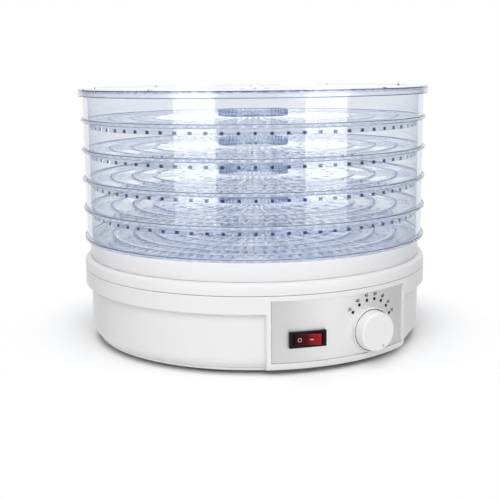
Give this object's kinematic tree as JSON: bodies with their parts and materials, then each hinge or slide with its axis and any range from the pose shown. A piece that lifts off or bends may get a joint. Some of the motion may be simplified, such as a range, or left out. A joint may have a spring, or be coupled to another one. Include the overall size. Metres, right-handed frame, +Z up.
{
  "type": "food dehydrator",
  "caption": "Round electric food dehydrator: stacked clear perforated trays and a flat lid on a white fan-heater base with a silver panel, thermostat knob and rocker switch.",
  "frame": {"origin": "centre of the round footprint, on the plane under the feet", "axes": "+Z up along the stack, -Y towards the front, +X to the right seen from the front"},
  "size_m": [0.3228, 0.3228, 0.2325],
  "materials": {
    "white_plastic": "satin moulded, white",
    "clear_plastic": "clear, faint blue",
    "silver_panel": "satin silver",
    "black_plastic": "semi-gloss",
    "red_plastic": "translucent red",
    "bakelite": "moulded",
    "fan_plastic": "moulded",
    "grille_paint": "white enamel",
    "zinc_steel": "zinc plated",
    "lamination_steel": "varnished stack",
    "cast_aluminium": "die cast",
    "copper": "enamelled winding",
    "bronze": "sintered",
    "brass": "stamped",
    "mica": "pressed mica board",
    "resistance_wire": "oxidised",
    "rubber": "matt",
    "wire_sleeve": "woven sleeve"
  },
  "bodies": {
    "base": {"base_housing": "white_plastic", "top_cover": "white_plastic", "outlet_grille": "grille_paint", "control_panel": "silver_panel", "switch_body": "black_plastic", "switch_terminals": "brass", "knob_ring": "white_plastic", "thermostat_body": "bakelite", "thermostat_nut": "zinc_steel", "motor_stator": "lamination_steel", "motor_bobbin": "bakelite", "motor_coil": "copper", "motor_bracket_lower": "cast_aluminium", "motor_bracket_upper": "cast_aluminium", "motor_bushes": "bronze", "motor_screws": "zinc_steel", "heater_shroud": "zinc_steel", "shroud_screws": "zinc_steel", "heater_boards": "mica", "heater_coil": "resistance_wire", "thermal_cutout": "bakelite", "cover_screws": "zinc_steel", "feet": "rubber", "foot_screws": "zinc_steel", "cord_gland": "black_plastic", "terminal_block": "black_plastic", "terminal_screws": "zinc_steel", "internal_wires": "wire_sleeve"},
    "rocker": {"rocker": "red_plastic"},
    "knob": {"knob": "white_plastic", "thermostat_spindle": "zinc_steel"},
    "fan": {"fan": "fan_plastic", "fan_clip": "zinc_steel", "motor_shaft": "zinc_steel", "motor_rotor": "lamination_steel"},
    "tray_5": {"tray_5": "clear_plastic"},
    "tray_4": {"tray_4": "clear_plastic"},
    "tray_3": {"tray_3": "clear_plastic"},
    "tray_2": {"tray_2": "clear_plastic"},
    "tray_1": {"tray_1": "clear_plastic"},
    "lid": {"lid": "clear_plastic"}
  },
  "joints": [
    {"name": "rocker_tip", "type": "hinge", "parent": "base", "child": "rocker", "pos_m": [0.04225, -0.15235, 0.0313], "axis": [0, 0, 1], "range_deg": [0, 18]},
    {"name": "knob_turn", "type": "hinge", "parent": "base", "child": "knob", "pos_m": [0.09716, -0.12662, 0.0315], "axis": [-0.4863, 0.8738, 0], "range_deg": [0, 270]},
    {"name": "fan_spin", "type": "hinge", "parent": "base", "child": "fan", "pos_m": [0, 0, 0.0435], "axis": [0, 0, 1], "continuous": true},
    {"name": "tray_5_lift", "type": "slide", "parent": "base", "child": "tray_5", "axis": [0, 0, 1], "range_m": [0, 0.06]},
    {"name": "tray_4_lift", "type": "slide", "parent": "tray_5", "child": "tray_4", "axis": [0, 0, 1], "range_m": [0, 0.06]},
    {"name": "tray_3_lift", "type": "slide", "parent": "tray_4", "child": "tray_3", "axis": [0, 0, 1], "range_m": [0, 0.06]},
    {"name": "tray_2_lift", "type": "slide", "parent": "tray_3", "child": "tray_2", "axis": [0, 0, 1], "range_m": [0, 0.06]},
    {"name": "tray_1_lift", "type": "slide", "parent": "tray_2", "child": "tray_1", "axis": [0, 0, 1], "range_m": [0, 0.06]},
    {"name": "lid_lift", "type": "slide", "parent": "tray_1", "child": "lid", "axis": [0, 0, 1], "range_m": [0, 0.06]}
  ]
}
